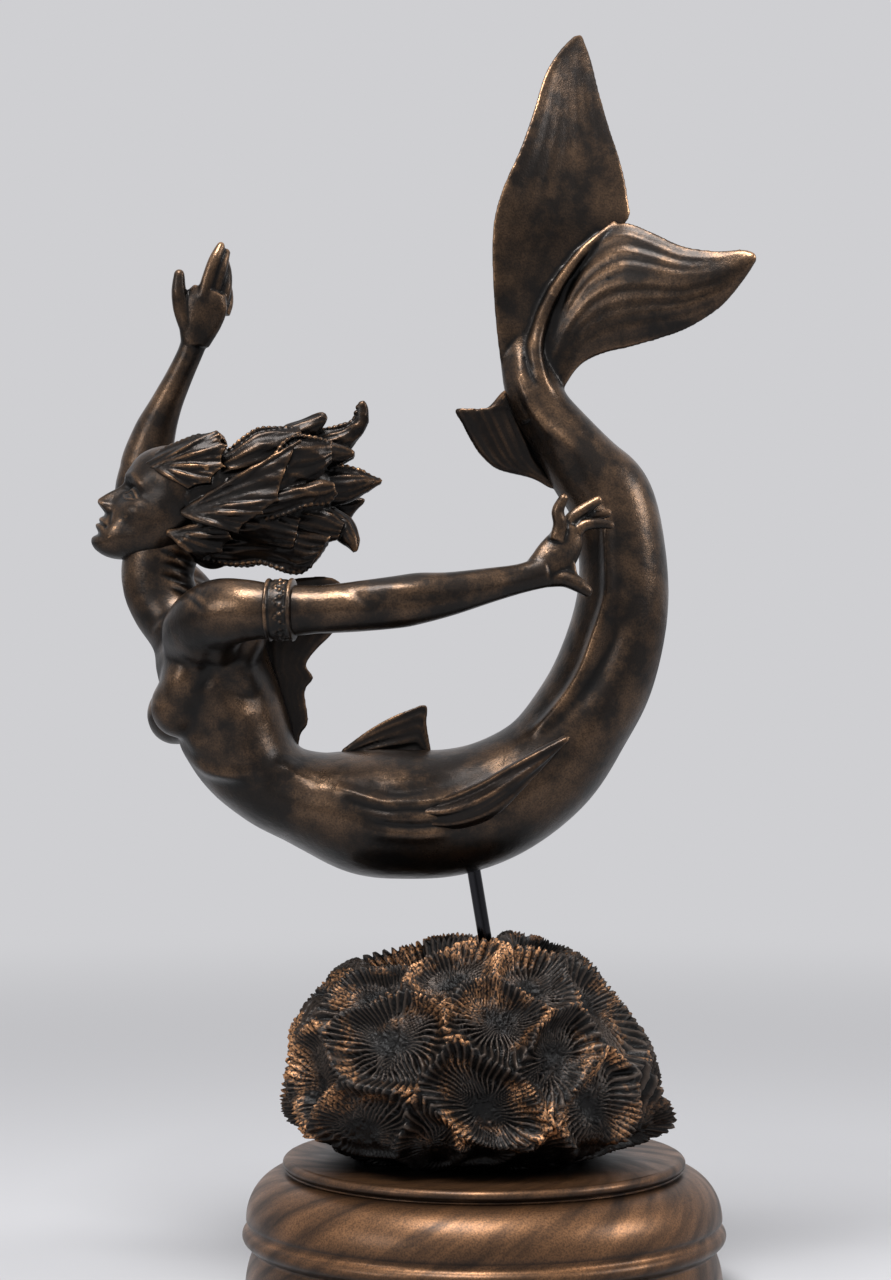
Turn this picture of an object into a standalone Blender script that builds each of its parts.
"""A cast mermaid figurine, swimming over a coral rock on a leaning steel rod, on a round moulded plinth.

Origin: centre of the plinth's underside. +Z up, +X to the tail's side, -Y to the side it is seen from.
The figure is drawn in millimetres from the point where the rod enters its belly: x, y across, z up.
"""

import math

import bmesh
import bpy
import numpy as np
from mathutils import Matrix, Vector

MM = 0.001

# Plinth
PLINTH_RADIUS = 96.5 * MM
PLINTH_HEIGHT = 55.0 * MM
PLATFORM_RADIUS = 77.5 * MM
TOP_BEAD_RADIUS = 2.4 * MM
LOWER_BEAD_RADIUS = 3.2 * MM
FOOT_HEIGHT = 20.0 * MM
FOOT_RADIUS = 89.0 * MM
OVOLO_TOP = 49.5 * MM
OVOLO_BOTTOM = 30.5 * MM

# Coral rock
CORAL_WIDTH = 146.0 * MM
CORAL_DEPTH = 136.0 * MM
CORAL_HEIGHT = 86.0 * MM
CORAL_WAIST_HEIGHT = 25.0 * MM
CORAL_SHIFT = -5.0 * MM
CUP_SPACING = 34.0 * MM
CUP_DEPTH = 8.5 * MM
RIDGE_WIDTH = 5.6 * MM
SIDE_LUMP = 9.0 * MM
CUP_WARP = 3.0 * MM
CUP_JITTER = 0.13
# Where the rock is less full, from the middle of its waist in side view: x, z, depth, reach, in millimetres
CORAL_DIPS = [(60, 34, 5.5, 22), (-30, 58, 4, 20)]

# Rod
ROD_DIAMETER = 5.4 * MM
ROD_LEAN = math.radians(9.4)
ROD_SHOWING = 35.4 * MM
ROD_IN_FIGURE = 16.0 * MM
ROD_IN_CORAL = 32.0 * MM
ROD_EXIT_X = 1.6 * MM
ROD_EXIT_DROP = 7.0 * MM
SOCKET_OVERRUN = 25.0 * MM
CLEARANCE = 0.3 * MM

# Figure
HEAD_HEIGHT = 54.0 * MM
FLUKE_THICKNESS = 5.0 * MM
FIN_THICKNESS = 3.4 * MM
LOCK_THICKNESS = 4.2 * MM
FINGER_THICKNESS = 5.2 * MM
ARMLET_WIDTH = 9.0 * MM
ARMLET_THICKNESS = 1.1 * MM
VOXEL = 0.9 * MM
CORE_VOXEL = 1.1 * MM
CORE_PASSES = 40
FORM_PASSES = 3
FIGURE_FACES = 6400
CORAL_FACES = 3500
TURNED_STEPS = 38

# Torso and tail, from the neck to the fluke's root: x, z, half depth in side view, half width
BODY = [
    (-110, 100, 14, 25), (-107, 91, 21, 32), (-103.5, 79, 22.5, 32), (-99, 66, 22.5, 29.5),
    (-91.6, 47.4, 21.4, 27), (-80.8, 34.4, 18, 25), (-67, 28.4, 19.2, 28), (-56, 25.4, 22.4, 31),
    (-43, 22.8, 25.3, 33.5), (-29.5, 22.1, 26, 33.5), (-9.5, 22.6, 25.4, 31), (10.5, 28.8, 24, 28),
    (29.6, 41.8, 22, 25.5), (42.8, 60, 20.6, 23.5), (52.4, 78.2, 20.2, 22), (59, 102.8, 18.8, 20.5),
    (59.5, 125.2, 17.6, 19), (54.7, 147.6, 17.4, 18), (45.4, 159.4, 15.6, 16.5), (38, 169.2, 13.8, 15),
    (28.3, 182.4, 11.8, 12.5), (23.4, 192, 11.2, 11), (20.5, 203, 9.4, 8), (21, 212, 7.5, 5),
]
NECK = [
    (-120, 138, 15, 13), (-125.5, 124, 15, 12.5), (-126.2, 114, 14.5, 12.5), (-122.6, 105, 14.3, 14.5),
    (-116.4, 97, 14.6, 21), (-111.2, 89, 16.4, 27),
]

# Arms, from inside the chest to the wrist: x, y, z, half height, half width
NEAR_ARM = [
    (-113, -18, 90, 11, 11), (-107.5, -30, 97, 13.4, 13), (-99.5, -40, 101.6, 13.8, 13), (-89, -46.5, 103, 12.4, 12),
    (-78, -49, 102.8, 10.9, 10.7), (-55.7, -52, 103.5, 9.3, 9.4), (-32, -54, 105.8, 10, 9),
    (-21, -53, 107.6, 9.8, 8.6), (-9.6, -50.5, 109.3, 8.4, 7.6), (5.8, -46, 112.7, 6.7, 6.2),
    (18, -42, 115.4, 5.7, 5), (27, -39.5, 118, 6.2, 5),
]
FAR_ARM = [
    (-112, 24, 92, 12, 11), (-113, 34, 99, 13.4, 12.5), (-118, 43, 107, 13.6, 12.5), (-129, 51, 121, 11.8, 11.2),
    (-138, 57.5, 138, 11, 10.8), (-139.6, 60, 152, 11, 10.2), (-137, 60, 164, 10.9, 9.8), (-133.4, 59, 178, 9, 8.6),
    (-128.4, 57.5, 190, 6.8, 7), (-122.6, 56, 202, 5.6, 5.6), (-117.4, 54, 213, 5.3, 4.9), (-115, 53, 221, 6.4, 4.6),
]
NEAR_ARM_JOIN = 4
FAR_ARM_JOIN = 5
JOIN_TUCK = 3.0

# Hands: each finger runs root, joints, tip, as x, y, z
NEAR_PALM = [(24, -39.5, 116.6, 6.4, 4.8), (30.5, -38, 122.6, 8, 4.6), (35, -36, 129.4, 7.2, 4.3), (36, -35, 135.6, 5.2, 4)]
NEAR_FINGERS = [
    [(32, -39, 130.5), (33, -40, 136.5), (32.2, -40.5, 141.5), (34.4, -41, 146.4)],
    [(34.6, -36, 133), (38, -35, 139), (43, -34, 142.6), (48, -33.5, 145.8)],
    [(36.4, -34, 131.5), (40, -32, 137.5), (45.6, -30.5, 139.8), (52, -30, 141)],
    [(37.4, -36, 130), (41.6, -36, 135.5), (47.4, -35.5, 136.8), (53, -35, 136.2)],
    [(27.5, -39, 115.6), (34.4, -39.5, 115.4), (39.4, -40, 113.4), (43.5, -40.5, 110.4)],
]
FAR_PALM = [(-116, 53, 215, 6, 4.8), (-113.8, 52, 224, 9, 4.8), (-111.4, 51, 232, 9.6, 4.6), (-109.4, 50.5, 237.5, 7, 4)]
FAR_FINGERS = [
    [(-112.2, 49, 234), (-109.6, 48, 243), (-107.2, 48, 250), (-104.8, 49.5, 255.6)],
    [(-109, 51, 234), (-106, 50, 242), (-104.2, 50.5, 248.5), (-102.8, 52, 253.2)],
    [(-105.6, 53, 231), (-103.2, 53.5, 238.5), (-103, 55, 245), (-103.6, 57, 250)],
    [(-104, 55.5, 228), (-102.4, 57, 233), (-102.8, 59, 239), (-104, 61, 244)],
    [(-118.6, 52, 222), (-121.4, 50, 229.5), (-122.2, 48.5, 237), (-122, 48, 243.6)],
]
FINGER_WIDTHS = (1.18, 1.04, 0.96, 0.72)
FINGER_SHARES = (1.0, 1.0, 1.0, 0.88, 1.24)

# The head in its own axes, forward, side and up, from its middle, for a head 54 mm high.
# Sections go from chin to crown: up, forward, half depth, half width.
HEAD = [
    (-26, 13.5, 5, 5.5), (-22, 10, 10.2, 9.5), (-17, 5.5, 15, 12.8), (-12, 1.5, 18.4, 15), (-6, -0.9, 20.2, 16.6),
    (0, -2.4, 20.3, 17.2), (5, -2.6, 22, 18), (12, -3, 22.2, 18.2), (18, -3.3, 20, 16.5), (23, -3.5, 15, 12.5), (27, -3.5, 4, 4),
]
# Rounded forms laid on the head, each with its middle and its half sizes: forward, side, up
FACE_FORMS = [
    ((13.6, 0, -14.4), (8, 8.4, 7)), ((15.4, 0, -22.4), (5, 5.8, 4.3)), ((12, 9.8, -7.2), (5.8, 5, 4.4)),
    ((15.2, 6.2, 4.6), (4.2, 6.6, 2.6)), ((20.1, 0, -14.3), (2.2, 4.4, 1.3)), ((19.8, 0, -17), (2.2, 3.8, 1.5)),
    ((20.2, 2.7, -9.6), (2.6, 2, 2.1)), ((12.9, 7.3, 0.1), (4, 4.2, 4)),
]
NOSE = [(16.8, 0, 5.5, 2, 3), (18.6, 0, 0.5, 2.3, 2.5), (21, 0, -4.5, 2.9, 2.8), (22.6, 0, -8.4, 3.2, 3.2), (21.4, 0, -10.6, 2, 2.6)]

# Chest and back, as rounded forms with their middles and half sizes
TORSO_FORMS = [
    ((-116.5, -16, 65.5), (11.4, 12.5, 12.5)), ((-112, -18, 75), (11.5, 14, 15)), ((-121, 15.5, 61.5), (11.4, 12.5, 12.5)),
    ((-114, 17, 74), (11.5, 14, 15)), ((-103, -29, 93), (13, 14, 13)), ((-107, 30, 94), (13, 14, 13)),
    ((-92, -20, 95), (11, 14, 15)), ((-95, 20, 96), (11, 14, 15)), ((-104, -20, 52), (9, 8, 7)), ((-106, 16, 50), (9, 9, 7)),
    ((-76, -18, 40), (8, 9, 6)), ((-76, 18, 40), (8, 9, 6)),
]
HAIR_MASS = [((-108, 0, 150), (20, 18.5, 19)), ((-88, 0, 147), (24, 19, 18)), ((-68, 0, 151), (14, 12, 13)), ((-104, 0, 129), (10, 13, 9))]

# Fins and locks: pairs of points across the blade from root to tip, each x, y, z
TOP_FLUKE = [
    ((11, 0, 200), (32, 0, 200)), ((9, -3, 214), (33, 0, 213)), ((7.6, -4, 228), (34.5, 1, 226)), ((6.6, -6, 246), (45, 3, 245)),
    ((7.3, -7, 259), (61, 5, 259)), ((10.9, -7, 271.6), (61.7, 6, 268)), ((17.7, -5, 287.2), (58.9, 8, 282.4)),
    ((23.3, -1, 303.6), (54.5, 11, 297)), ((28.1, 4, 318.6), (50.4, 14, 313)), ((34.5, 10, 329.4), (47.4, 16, 327)),
    ((40.9, 15, 336.4), (43.9, 17, 336.8)),
]
SIDE_FLUKE = [
    ((24, 0, 206), (35, 0, 190)), ((33.7, 0, 229.6), (41.7, -3, 200.8)), ((44.5, -3, 249.6), (49.7, -7, 205.4)),
    ((57, -8, 258), (60, -11, 207.5)), ((68, -13, 254.4), (72, -15, 210.5)), ((81.3, -18, 247.6), (84, -19, 214.5)),
    ((95, -22, 244.8), (97, -22, 222.5)), ((105, -24, 245), (106, -24, 233)), ((110.2, -25, 243.2), (110.8, -25, 240.4)),
]
TAIL_FIN = [
    ((16, 0, 194), (11, 0, 190.5)), ((19, 0, 188), (4, 0, 183.8)), ((21, 0, 183), (-7.2, 0, 184.2)),
    ((23, 0, 177), (-4.7, 0, 178)), ((26, 0, 170), (-1, 0, 171)), ((29, 0, 163), (3, 0, 165.2)),
    ((33, 0, 158), (9.5, 0, 159.8)), ((36, 0, 154), (23, 0, 156.2)), ((38, 0, 150), (30, 0, 152.5)),
]
HIP_FIN = [
    ((-54, 0, 42), (-52.7, 0, 47.8)), ((-46, 0, 42), (-43, 0, 55)), ((-38, 0, 42), (-34, 0, 60.4)),
    ((-30, 0, 42), (-25.5, 0, 64)), ((-25, 0, 42), (-19.2, 0, 65.6)), ((-21, 0, 42), (-19, 0, 58)), ((-17, 0, 42), (-17.5, 0, 48)),
]
BACK_FIN = [
    ((-93, 0, 108), (-84, 0, 113)), ((-91, 0, 104), (-69.5, 0, 116.5)), ((-89, 0, 99), (-55, 0, 116)),
    ((-88, 0, 94), (-50, 0, 106)), ((-87, 0, 90), (-56, 0, 94.6)), ((-85, 0, 85), (-62.5, 0, 88)),
    ((-83, 0, 79), (-66.8, 0, 81.6)), ((-82, 0, 75), (-63.9, 0, 76.4)), ((-80, 0, 70), (-67.3, 0, 71)),
    ((-77, 0, 61), (-66, 0, 59)), ((-74, 0, 54), (-69, 0, 54)), ((-73, 0, 47), (-70, 0, 48)),
]
PELVIC_FIN = [
    ((-37, -28, 27.5), (-35, -28, 23)), ((-26, -31.5, 29.8), (-23, -32, 19)), ((-13.5, -34, 30.4), (-9.5, -35, 17.5)),
    ((0, -36, 35.8), (2, -37, 20)), ((11, -37, 42), (11, -37.5, 25.5)), ((22, -36.5, 47.8), (20, -36, 34.5)),
    ((31, -35, 52.2), (29, -34, 44.5)), ((36.6, -33.5, 54.8), (35.6, -33, 53)),
]
MIDRIB = [
    (31, -10, 188, 3.2, 3), (26.5, -8, 196, 3.2, 3), (24.5, -6, 207, 3.2, 3), (26.4, -4, 217, 3, 2.8), (30.5, -4, 227.5, 2.8, 2.6),
    (37, -4, 238, 2.5, 2.4), (45, -4, 248, 2.2, 2.2), (56, -4, 258, 1.6, 1.8),
]

# Locks of hair, like ribbed leaves swept back, then the fins over the temple, the ear and the jaw
LOCKS = [
    [((-104, -10, 164), (-104, -12, 154)), ((-96.5, -11, 167.6), (-95, -15, 156)), ((-91, -11, 172), (-87, -15, 158)),
     ((-85.5, -10, 175.4), (-79, -14, 161)), ((-77, -8, 176), (-72.5, -12, 166)), ((-69.5, -6, 175.5), (-68, -9, 171.5))],
    [((-80, 0, 174), (-78, -2, 165)), ((-74.7, 1, 178.3), (-70.5, -1, 167.5)), ((-67, 2, 181.8), (-65.5, 0, 170.6)),
     ((-60.6, 2, 183), (-61.6, 1, 174.6)), ((-58.6, 2, 180.6), (-59.6, 2, 178))],
    [((-68, 6, 174), (-68, 3, 163)), ((-60.5, 7, 176.6), (-57, 4, 164.6)), ((-54, 7, 177.6), (-49.4, 5, 168.8)),
     ((-48.4, 7, 179.8), (-43.2, 6, 178)), ((-47, 7, 183.6), (-41.9, 7, 183.8)), ((-46, 7, 187.2), (-44, 7, 187.8))],
    [((-68, -7, 170.5), (-68, -9, 159)), ((-59, -7, 171), (-60, -9, 160.6)), ((-52, -6, 169.6), (-53.6, -7, 161.6)),
     ((-48, -5, 167.4), (-48.2, -5, 164.6))],
    [((-92, -17, 152), (-90, -18, 139)), ((-81, -18, 161), (-79, -20, 145)), ((-73, -17, 171), (-70, -19, 150)),
     ((-64, -15, 171.6), (-62, -16, 154.6)), ((-56.6, -11, 169.6), (-56, -12, 162))],
    [((-72, -4, 162), (-72, -6, 147)), ((-58.5, -4, 160.4), (-59, -7, 146)), ((-51.6, -3, 161), (-51, -6, 146)),
     ((-45.2, -2, 159.2), (-43.2, -4, 150.4)), ((-36.6, 0, 155.4), (-36.6, -1, 154))],
    [((-68, 6, 153), (-68, 4, 138)), ((-57, 7, 153), (-58, 5, 138)), ((-48.5, 7, 150.5), (-51, 5, 140)),
     ((-43.6, 6, 148), (-44.4, 6, 146))],
    [((-60, -3, 148), (-66, -4, 139)), ((-50.5, -4, 142), (-57.6, -5, 134.8)), ((-46.6, -5, 137), (-53.6, -6, 131)),
     ((-45.4, -6, 130.4), (-50, -6, 128)), ((-46.2, -6, 127.2), (-48, -6, 126.4))],
    [((-108, -10, 135), (-108, -9, 124)), ((-96, -13, 137), (-95, -12, 121.6)), ((-86, -15, 138), (-85.7, -13, 122.4)),
     ((-76, -15, 137), (-79.4, -13, 120.8)), ((-64, -12, 134), (-71, -12, 118.2)), ((-57, -9, 132.4), (-64.6, -10, 121.8))],
    [((-94, -18, 149), (-94, -18, 138)), ((-80, -21, 150), (-78, -20, 140)), ((-68, -21, 152.6), (-66, -20, 144.6)),
     ((-60, -19, 154.6), (-58, -18, 145.6)), ((-55.4, -17, 153.6), (-54.6, -17, 149.6))],
    [((-80, -8, 147), (-80, -9, 131)), ((-68, -9, 146), (-69, -9, 129)), ((-58, -8, 143), (-61, -8, 129.6)),
     ((-51.4, -7, 138), (-54, -7, 131.6))],
    [((-100, -16, 146), (-100, -15, 133)), ((-88, -19, 145), (-88, -18, 130)), ((-77, -18, 143), (-79, -17, 128)),
     ((-68, -15, 140), (-72, -15, 127.6))],
]
MIRRORED_LOCKS = (0, 3, 4, 8, 9, 10, 11)
TEMPLE_FAN = ((-127, -13, 160), [(-101.5, -13, 174.4), (-97, -16, 168.4), (-97.6, -18, 160), (-103.4, -19, 153.6), (-112, -19, 151)])
EAR_FAN = ((-115.5, -18, 141.6), [(-68, -20, 170), (-75.5, -24, 146.4), (-82.3, -25, 140.8), (-92.3, -24, 133.6)])
JAW_FAN = ((-121, -15, 134), [(-95, -21, 139), (-94.5, -21, 131), (-99, -20, 126), (-107, -18, 123)])

# Strokes drawn in side view and pressed into both sides of the body: points, push, reach
STROKES = [
    ([(51.9, 146), (52.6, 134), (53.1, 120.5), (52.7, 108.5), (48, 93.2), (41.2, 76.2), (29.3, 60.1), (20, 53)], 2.2, 1.7),
    ([(45.4, 134), (46, 122), (44.6, 104), (39, 86), (29, 68), (16, 56)], -1.5, 4.2),
    ([(60, 110), (54, 90), (46, 74), (36, 60)], -1.7, 4.6),
    ([(17, 206), (18.5, 195), (22.5, 185), (29, 176), (37.5, 169), (45, 158)], 1.5, 2.6),
    ([(12.5, 198), (15.3, 188), (24.6, 171), (35, 156)], -1.3, 2.8),
    ([(-119.5, 54), (-110, 43.6), (-101.9, 39.2), (-90.3, 38.4), (-84, 40)], 2.2, 2.8),
    ([(-114, 41), (-105, 35.6), (-95, 34.4), (-84.7, 34.2)], -2.0, 3.8),
    ([(-107.5, 87), (-113, 80), (-118, 71)], 1.4, 4.5),
    ([(-100, 89), (-104, 80), (-107, 70), (-107.5, 58)], -2.0, 4.4),
    ([(-97, 87), (-93, 78)], 1.3, 3.6), ([(-89.5, 80.5), (-86.5, 73)], 2.0, 5.0),
    ([(-97, 73), (-90, 69.5), (-82, 68)], -0.9, 3.0), ([(-93, 65), (-89, 57)], 1.9, 4.4),
    ([(-83, 57), (-79, 50)], -1.6, 5.5), ([(-79, 43.4), (-73.6, 41.4), (-68.5, 38.6)], 2.0, 4.0),
    ([(-60, 38), (-46, 33), (-32, 29)], 1.2, 7.5), ([(-128.5, 90), (-123, 97.6), (-115.5, 103.7)], 1.3, 1.8),
    ([(-125, 86), (-117, 93)], -1.2, 3.0), ([(-114, 108), (-108.5, 100), (-106, 91)], -1.3, 3.2),
    ([(-104, 88), (-96, 84.5), (-86, 84.6)], -1.6, 3.4), ([(-79, 84), (-76, 70), (-71, 56)], 0.9, 3.0),
    ([(-121, 117), (-112, 113), (-104, 108)], -0.9, 1.5), ([(-119, 113), (-111, 109), (-106, 104)], -0.9, 1.5),
    ([(-121, 121), (-113, 118), (-106, 113)], -0.9, 1.5),
]


def clear_scene():
    for thing in list(bpy.data.objects):
        bpy.data.objects.remove(thing, do_unlink=True)


def make_collection(name):
    collection = bpy.data.collections.new(name)
    bpy.context.scene.collection.children.link(collection)
    return collection


def make_material(name, colour, metallic, roughness):
    material = bpy.data.materials.new(name)
    material.use_nodes = True
    shader = material.node_tree.nodes["Principled BSDF"]
    shader.inputs["Base Color"].default_value = (*colour, 1.0)
    shader.inputs["Metallic"].default_value = metallic
    shader.inputs["Roughness"].default_value = roughness
    return material


def add_object(name, mesh, collection, material=None):
    thing = bpy.data.objects.new(name, mesh)
    collection.objects.link(thing)
    if material:
        mesh.materials.append(material)
    return thing


def smooth_rows(rows, step=2.2):
    """Rows of numbers joined by smooth curves, with a new row about every step of the way."""
    rows = np.array(rows, float)
    ends = np.vstack([2 * rows[0] - rows[1], rows, 2 * rows[-1] - rows[-2]])
    filled = []
    for k in range(len(rows) - 1):
        before, start, end, after = ends[k:k + 4]
        count = max(2, math.ceil(np.abs(end - start).max() / step))
        t = np.arange(count)[:, None] / count
        filled.append(0.5 * (2 * start + (end - before) * t + (2 * before - 5 * start + 4 * end - after) * t**2
                             + (3 * start - before - 3 * end + after) * t**3))
    return np.vstack([*filled, rows[-1:]])


def unit(vectors):
    return vectors / np.maximum(np.linalg.norm(vectors, axis=-1, keepdims=True), 1e-9)


def skin(form, middle, across, through, cup=0.0, ribs=None, sides=24):
    """Wraps a sheet round a run of oval sections and closes its ends.

    Each section has a middle and two half axes. The cup bends its edges away from its middle, and the ribs,
    a depth and a count, run lengthwise along it.
    """
    count = len(middle)
    sheet = bmesh.ops.create_grid(form, x_segments=count - 1, y_segments=sides, size=1.0)["verts"]
    places = np.array([vert.co[:2] for vert in sheet])
    row = np.rint((places[:, 0] + 1) / 2 * (count - 1)).astype(int)
    turn = (places[:, 1] + 1) * math.pi
    width, height = np.cos(turn)[:, None], np.sin(turn)[:, None]
    lift = np.broadcast_to(cup, (count, 3))[row] * width**2
    if ribs:
        lift = lift + unit(through)[row] * ribs[0] * np.cos(ribs[1] * math.pi * width)
    placed = middle[row] + across[row] * width + through[row] * height + lift
    for vert, place in zip(sheet, placed):
        vert.co = Vector(place * MM)
    bmesh.ops.remove_doubles(form, verts=sheet, dist=1e-7)
    sheet = [vert for vert in sheet if vert.is_valid]
    rims = {edge for vert in sheet for edge in vert.link_edges if edge.is_boundary}
    bmesh.ops.holes_fill(form, edges=list(rims), sides=0)


def tube(form, rows, side, sides=24):
    """A limb through rows of x, y, z, half height and half width, with its width along a side direction."""
    rows = smooth_rows(rows)
    middle = rows[:, :3]
    way = unit(np.gradient(middle, axis=0))
    width = unit(side - way * (way @ side)[:, None])
    height = np.cross(width, way)
    skin(form, middle, height * rows[:, 3:4], width * rows[:, 4:5], sides=sides)


def side_view_tube(form, rows, sides=32):
    """A body drawn in side view through rows of x, z, half depth and half width."""
    tube(form, [(x, 0, z, depth, width) for x, z, depth, width in rows], np.array([0.0, 1.0, 0.0]), sides)


def ball(form, middle, sizes, axes=None):
    """A rounded form with its middle and half sizes along three axes."""
    turn = Matrix(axes).transposed().to_4x4() if axes is not None else Matrix()
    matrix = Matrix.Translation(Vector(middle) * MM) @ turn @ Matrix.Diagonal((*(Vector(sizes) * MM), 1))
    bmesh.ops.create_uvsphere(form, u_segments=24, v_segments=16, radius=1.0, matrix=matrix)


def blade(form, pairs, thickness, ribs=None, cup=0.0, scallop=0.0):
    """A fin or a leaf of hair through pairs of points across it, thickest in its middle."""
    rows = smooth_rows([(*one, *other) for one, other in pairs])
    one, other = rows[:, :3], rows[:, 3:]
    middle, across = (one + other) / 2, (other - one) / 2
    way = np.gradient(middle, axis=0)
    face = unit(np.cross(unit(across), unit(way)))
    share = np.linspace(0, 1, len(rows))[:, None]
    through = face * thickness / MM / 2 * (1 - 0.35 * share)
    bend = face * cup * np.sin(share * math.pi) + unit(way) * scallop * share**2
    skin(form, middle, across, through, bend, ribs)


def fan(form, origin, tips, thickness):
    """Rays spread from one point, with a web between neighbours that is scalloped at its edge."""
    origin = np.array(origin, float)
    tips = np.array(tips, float)
    thick = thickness / MM / 2
    for tip in tips:
        bow = np.array([0, -2.5, 0])
        path = [(*origin, thick, thick), (*(origin * 0.5 + tip * 0.5 + bow), thick, thick), (*tip, 0.45 * thick, 0.45 * thick)]
        tube(form, path, np.array([0.0, 1.0, 0.0]), sides=10)
    for tip, after in zip(tips, tips[1:]):
        sag = np.array([0, -1.2, 0])
        pairs = [(origin + (tip - origin) * share + sag * math.sin(share * math.pi),
                  origin + (after - origin) * share + sag * math.sin(share * math.pi)) for share in (0.02, 0.3, 0.6, 0.86)]
        blade(form, pairs, thickness * 0.72, ribs=(0.25, 3), scallop=3.0)


def mirrored(pairs):
    """The same blade on the other side of the body."""
    return [tuple((x, -y, z) for x, y, z in pair) for pair in pairs]


def head_axes():
    """The head's forward, side and up directions: it is thrown back by 27 degrees."""
    tilt = math.radians(27)
    forward = np.array([-math.cos(tilt), 0, math.sin(tilt)])
    up = np.array([math.sin(tilt), 0, math.cos(tilt)])
    return np.array([forward, [0.0, -1.0, 0.0], up])


def add_head(form):
    axes = head_axes()
    size = HEAD_HEIGHT / MM / 54
    middle = np.array([-123.5, 0, 143.6])

    def place(forward, side, up):
        return middle + np.array([forward, side, up]) * size @ axes

    rows = [(*place(forward, 0, up), depth * size, width * size) for up, forward, depth, width in HEAD]
    tube(form, rows, np.array([0.0, 1.0, 0.0]), sides=40)
    nose = [(*place(forward, side, up), high * size, wide * size) for forward, side, up, high, wide in NOSE]
    tube(form, nose, np.array([0.0, 1.0, 0.0]), sides=16)
    for spot, sizes in FACE_FORMS:
        for side in {spot[1], -spot[1]}:
            ball(form, place(spot[0], side, spot[2]), np.array(sizes) * size, axes)


def add_hand(form, palm, fingers, side):
    tube(form, palm, side, sides=20)
    for joints, share in zip(fingers, FINGER_SHARES):
        widths = np.array(FINGER_WIDTHS) * share * FINGER_THICKNESS / MM / 2
        tube(form, [(*joint, wide, wide) for joint, wide in zip(joints, widths)], side, sides=12)
        ball(form, joints[-1], [widths[-1]] * 3)


def add_armlet(form):
    """A band round the near upper arm, with a raised bead along each edge."""
    half = ARMLET_WIDTH / MM / 2
    thick = ARMLET_THICKNESS / MM
    start, end = np.array([-78.6, -49, 103.1]), np.array([-70, -50.2, 103.2])
    way = unit(end - start)
    centre = (start + end) / 2
    for reach, grow in ((half, thick), (half, 2 * thick)):
        spans = ((-reach, reach),) if grow == thick else ((-reach - 0.8, -reach + 0.8), (reach - 0.8, reach + 0.8))
        for low, high in spans:
            rows = [(*(centre + way * at), 10.6 + grow, 10.4 + grow) for at in (low, high)]
            tube(form, rows, np.array([0.0, 1.0, 0.0]))


def add_hair(form):
    for spot, sizes in HAIR_MASS:
        ball(form, spot, sizes)
    for k, lock in enumerate(LOCKS):
        blade(form, lock, LOCK_THICKNESS, ribs=(0.4, 4), cup=-2.5)
        if k in MIRRORED_LOCKS:
            blade(form, mirrored(lock), LOCK_THICKNESS, ribs=(0.5, 4), cup=2.5)
    for origin, tips in (TEMPLE_FAN, EAR_FAN, JAW_FAN):
        fan(form, origin, tips, FIN_THICKNESS * 0.8)
        fan(form, (origin[0], -origin[1], origin[2]), [(x, -y, z) for x, y, z in tips], FIN_THICKNESS * 0.8)


def add_fins(form):
    blade(form, TOP_FLUKE, FLUKE_THICKNESS, ribs=(0.25, 9), cup=2.5)
    blade(form, SIDE_FLUKE, FLUKE_THICKNESS, ribs=(0.5, 8), cup=-4.0)
    tube(form, MIDRIB, np.array([0.0, 1.0, 0.0]), sides=16)
    blade(form, TAIL_FIN, FIN_THICKNESS, ribs=(0.3, 4), cup=-2.0)
    blade(form, HIP_FIN, FIN_THICKNESS, ribs=(0.3, 4))
    blade(form, BACK_FIN, FIN_THICKNESS, ribs=(0.3, 4))
    blade(form, PELVIC_FIN, FLUKE_THICKNESS, ribs=(0.7, 3), cup=-2.0)
    blade(form, mirrored(PELVIC_FIN), FLUKE_THICKNESS, ribs=(0.7, 3), cup=2.0)


def arm_beyond(rows, join):
    """An arm's rows from its join outwards, with the first one tucked inside the arm already there."""
    x, y, z, high, wide = rows[join]
    return [(x, y, z, high - JOIN_TUCK, wide - JOIN_TUCK), *rows[join + 1:]]


def build_core():
    """Torso, tail, neck and shoulders, fused and softened into each other, with the muscles pressed in."""
    form = bmesh.new()
    across = np.array([0.0, 1.0, 0.0])
    side_view_tube(form, BODY, sides=40)
    side_view_tube(form, NECK)
    tube(form, NEAR_ARM[:NEAR_ARM_JOIN + 3], across)
    tube(form, FAR_ARM[:FAR_ARM_JOIN + 3], across)
    for spot, sizes in TORSO_FORMS:
        ball(form, spot, sizes)
    core = fused(form, CORE_VOXEL, CORE_PASSES)
    carve(core)
    return core


def build_figure_form():
    """Every form of the figure, overlapping, before they are fused into one skin."""
    form = bmesh.new()
    across = np.array([0.0, 1.0, 0.0])
    tube(form, arm_beyond(NEAR_ARM, NEAR_ARM_JOIN), across)
    tube(form, arm_beyond(FAR_ARM, FAR_ARM_JOIN), across)
    add_armlet(form)
    add_hand(form, NEAR_PALM, NEAR_FINGERS, across)
    add_hand(form, FAR_PALM, FAR_FINGERS, across)
    add_head(form)
    add_hair(form)
    add_fins(form)
    core = build_core()
    form.from_mesh(core)
    bpy.data.meshes.remove(core)
    return form


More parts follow.
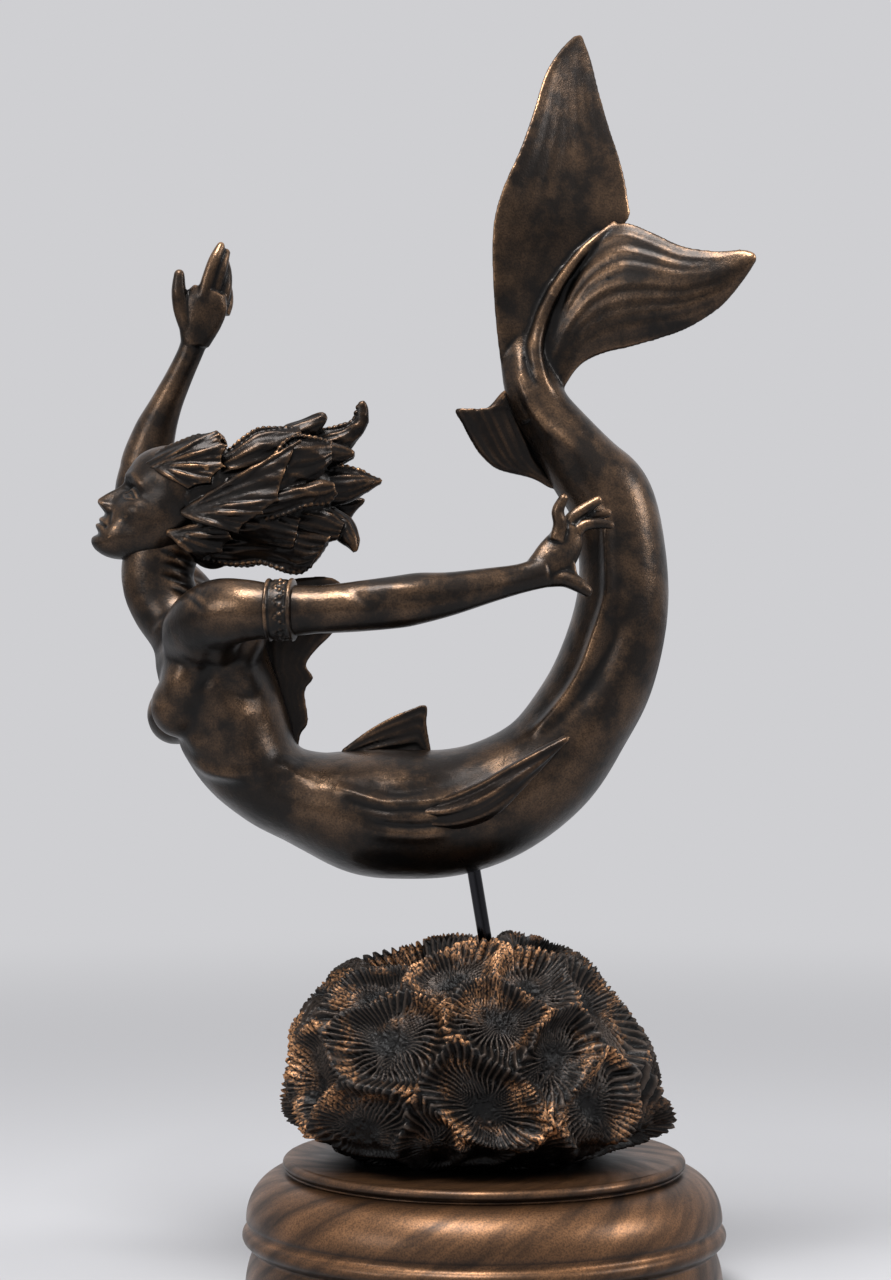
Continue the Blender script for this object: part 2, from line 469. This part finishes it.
def fused(form, voxel, passes):
    """One skin over forms that overlap, softened where they meet."""
    bmesh.ops.recalc_face_normals(form, faces=form.faces)
    loose = bpy.data.meshes.new("loose_forms")
    form.to_mesh(loose)
    form.free()
    thing = bpy.data.objects.new("fusing", loose)
    bpy.context.scene.collection.objects.link(thing)
    remesh = thing.modifiers.new("fuse", "REMESH")
    remesh.mode = "VOXEL"
    remesh.voxel_size = voxel
    soften = thing.modifiers.new("soften", "SMOOTH")
    soften.factor = 0.5
    soften.iterations = passes
    result = bpy.data.meshes.new_from_object(thing.evaluated_get(bpy.context.evaluated_depsgraph_get()))
    bpy.data.objects.remove(thing)
    bpy.data.meshes.remove(loose)
    return result


def distance_to_line(points, line):
    """How far each point lies from a bent line in the same plane."""
    nearest = np.full(len(points), np.inf)
    for start, end in zip(line, line[1:]):
        along = end - start
        share = np.clip((points - start) @ along / (along @ along), 0, 1)
        gap = np.linalg.norm(points - start - share[:, None] * along, axis=1)
        nearest = np.minimum(nearest, gap)
    return nearest


def carve(mesh):
    """Presses the strokes into both sides of the body."""
    count = len(mesh.vertices)
    spots, normals = np.empty(count * 3), np.empty(count * 3)
    mesh.vertices.foreach_get("co", spots)
    mesh.vertices.foreach_get("normal", normals)
    spots, normals = spots.reshape(-1, 3) / MM, normals.reshape(-1, 3)
    side = np.abs(normals[:, 1]) ** 0.5
    push = np.zeros(count)
    for line, amount, reach in STROKES:
        gap = distance_to_line(spots[:, [0, 2]], smooth_rows(line, step=4))
        push += amount * np.exp(-(gap / reach) ** 2)
    spots += normals * (push * side)[:, None]
    mesh.vertices.foreach_set("co", (spots * MM).ravel())


def build_figure(collection, cutters, material, belly, way):
    mesh = fused(build_figure_form(), VOXEL, FORM_PASSES)
    figure = add_object("mermaid_figure", mesh, collection, material)
    figure.location = belly
    thin = figure.modifiers.new("fewer faces", "DECIMATE")
    thin.ratio = FIGURE_FACES / (2 * len(mesh.polygons))
    thin.use_collapse_triangulate = True
    socket = add_rod_cutter("belly_socket", cutters, belly - way * SOCKET_OVERRUN, belly + way * (ROD_IN_FIGURE + CLEARANCE))
    cut(figure, socket)
    mesh.shade_smooth()
    return figure


def cylinder_between(name, start, end, radius, collection, sides):
    """A round bar from one point to another."""
    form = bmesh.new()
    length = (end - start).length
    bmesh.ops.create_cone(form, cap_ends=True, segments=sides, radius1=radius, radius2=radius, depth=length)
    mesh = bpy.data.meshes.new(name)
    form.to_mesh(mesh)
    form.free()
    bar = add_object(name, mesh, collection)
    bar.location = (start + end) / 2
    bar.rotation_euler = (end - start).to_track_quat("Z", "Y").to_euler()
    return bar


def add_rod_cutter(name, collection, start, end):
    cutter = cylinder_between(name, start, end, ROD_DIAMETER / 2 + CLEARANCE, collection, 20)
    cutter.hide_render = True
    cutter.display_type = "WIRE"
    return cutter


def cut(thing, cutter):
    boolean = thing.modifiers.new("socket for the rod", "BOOLEAN")
    boolean.operation = "DIFFERENCE"
    boolean.object = cutter


def build_rod(collection, material, foot, top):
    rod = cylinder_between("support_rod", foot, top, ROD_DIAMETER / 2, collection, 20)
    rod.data.materials.append(material)
    rod.data.shade_smooth()
    rod.data.set_sharp_from_angle(angle=math.radians(40))
    return rod


def cup_centres():
    """Directions spread evenly over a ball, one for each coral cup, and each moved a little."""
    size = CORAL_WIDTH / 2
    count = round(4 * math.pi * size**2 / CUP_SPACING**2)
    chance = np.random.default_rng(7)
    step = np.arange(count) + 0.5
    up = 1 - 2 * step / count
    turn = step * math.pi * (3 - math.sqrt(5))
    flat = np.sqrt(1 - up**2)
    spread = np.stack([flat * np.cos(turn), flat * np.sin(turn), up], axis=1)
    return unit(spread + chance.normal(0, CUP_JITTER, spread.shape))


def dome(directions):
    """The rock's surface along each direction from its middle, before the cups are pressed into it."""
    rise = np.where(directions[:, 2] > 0, CORAL_HEIGHT - CORAL_WAIST_HEIGHT, CORAL_WAIST_HEIGHT * 1.3)
    sizes = np.stack([np.full(len(rise), CORAL_WIDTH / 2), np.full(len(rise), CORAL_DEPTH / 2), rise], axis=1)
    power = 2.4
    reach = (np.abs(directions / sizes) ** power).sum(axis=1) ** (-1 / power)
    return directions * reach[:, None]


def build_coral(collection, cutters, material, foot, way, exit_point):
    form = bmesh.new()
    bmesh.ops.create_icosphere(form, subdivisions=6, radius=1.0)
    directions = unit(np.array([vert.co for vert in form.verts]))
    centres = dome(cup_centres())
    surface = dome(directions)
    warped = surface + CUP_WARP * np.sin(surface[:, [1, 2, 0]] / (CUP_SPACING / 4))
    gaps = np.linalg.norm(warped[:, None] - centres[None], axis=2)
    nearest = np.sort(gaps, axis=1)[:, :2]
    crest = np.exp(-((nearest[:, 1] - nearest[:, 0]) / RIDGE_WIDTH) ** 2)
    pit = np.exp(-(nearest[:, 0] / (CUP_SPACING / 5)) ** 2)
    lump = np.linalg.norm(surface - np.array([0.47, -0.1, -0.06]) * CORAL_WIDTH, axis=1)
    push = CUP_DEPTH * (crest - 0.75) - CUP_DEPTH * 0.3 * pit + SIDE_LUMP * np.exp(-(lump / (10 * MM)) ** 2)
    for x, z, depth, reach in CORAL_DIPS:
        gap = np.linalg.norm(surface[:, [0, 2]] / MM - np.array([x, z]), axis=1)
        push -= depth * MM * np.exp(-(gap / reach) ** 2)
    placed = surface + directions * push[:, None]
    base = -CORAL_WAIST_HEIGHT
    placed[:, 2] = np.maximum(placed[:, 2], base)
    for vert, place in zip(form.verts, placed):
        vert.co = Vector(place)
    mesh = bpy.data.meshes.new("coral_rock")
    form.to_mesh(mesh)
    form.free()
    coral = add_object("coral_rock", mesh, collection, material)
    coral.location = (CORAL_SHIFT, 0, PLINTH_HEIGHT + CLEARANCE + CORAL_WAIST_HEIGHT)
    thin = coral.modifiers.new("fewer faces", "DECIMATE")
    thin.ratio = CORAL_FACES / len(mesh.polygons)
    thin.use_collapse_triangulate = True
    socket = add_rod_cutter("coral_socket", cutters, foot - way * CLEARANCE, exit_point + way * SOCKET_OVERRUN)
    cut(coral, socket)
    mesh.shade_smooth()
    return coral


def arc(centre_x, centre_z, radius_x, radius_z, start, end, count):
    """Points along part of an oval, from one angle to another, in degrees from +X."""
    turns = np.radians(np.linspace(start, end, count))
    return [(centre_x + radius_x * math.cos(turn), centre_z + radius_z * math.sin(turn)) for turn in turns]


def plinth_profile():
    """The turned outline, from the middle of the platform down to the middle of the underside."""
    bead_x = PLATFORM_RADIUS + TOP_BEAD_RADIUS * 0.1
    neck = OVOLO_TOP + 0.5 * MM
    profile = [(0.0, PLINTH_HEIGHT), (PLATFORM_RADIUS - 3 * MM, PLINTH_HEIGHT)]
    profile += arc(bead_x, PLINTH_HEIGHT - TOP_BEAD_RADIUS, TOP_BEAD_RADIUS * 1.1, TOP_BEAD_RADIUS, 100, -70, 5)
    profile.append((PLATFORM_RADIUS, neck))
    ovolo_width = PLINTH_RADIUS - 1.5 * MM - PLATFORM_RADIUS
    profile += arc(PLATFORM_RADIUS, OVOLO_BOTTOM, ovolo_width, OVOLO_TOP - OVOLO_BOTTOM, 84, 0, 6)
    bead_z = FOOT_HEIGHT + 1.2 * MM + LOWER_BEAD_RADIUS
    profile.append((PLINTH_RADIUS - 3.2 * MM, (OVOLO_BOTTOM + bead_z + LOWER_BEAD_RADIUS) / 2))
    profile += arc(PLINTH_RADIUS - LOWER_BEAD_RADIUS, bead_z, LOWER_BEAD_RADIUS, LOWER_BEAD_RADIUS, 60, -50, 4)
    profile.append((PLINTH_RADIUS - 2.6 * MM, FOOT_HEIGHT + 0.4 * MM))
    profile += arc(FOOT_RADIUS, 0, PLINTH_RADIUS - 1 * MM - FOOT_RADIUS, FOOT_HEIGHT, 70, 0, 4)
    profile.append((0.0, 0.0))
    return profile


def build_plinth(collection, material):
    mesh = bpy.data.meshes.new("plinth")
    outline = [(x, 0, z) for x, z in plinth_profile()]
    mesh.from_pydata(outline, [(k, k + 1) for k in range(len(outline) - 1)], [])
    plinth = add_object("plinth", mesh, collection, material)
    turned = plinth.modifiers.new("turned", "SCREW")
    turned.steps = turned.render_steps = TURNED_STEPS
    turned.use_merge_vertices = True
    turned.merge_threshold = 0.0001
    turned.use_smooth_shade = True
    return plinth


def main():
    clear_scene()
    parts = make_collection("mermaid_figurine")
    cutters = make_collection("cutters")
    bronze = make_material("rubbed bronze patina", (0.16, 0.085, 0.045), 0.85, 0.42)
    coral_black = make_material("blackened bronze patina", (0.045, 0.034, 0.028), 0.8, 0.55)
    steel = make_material("dark polished steel", (0.05, 0.05, 0.055), 1.0, 0.2)

    way = Vector((-math.sin(ROD_LEAN), 0, math.cos(ROD_LEAN)))
    coral_top = PLINTH_HEIGHT + CLEARANCE + CORAL_HEIGHT
    exit_point = Vector((ROD_EXIT_X, 0, coral_top - ROD_EXIT_DROP))
    belly = exit_point + way * ROD_SHOWING
    foot = exit_point - way * ROD_IN_CORAL
    build_plinth(parts, bronze)
    build_coral(parts, cutters, coral_black, foot, way, exit_point)
    build_rod(parts, steel, foot, belly + way * ROD_IN_FIGURE)
    build_figure(parts, cutters, bronze, belly, way)


main()
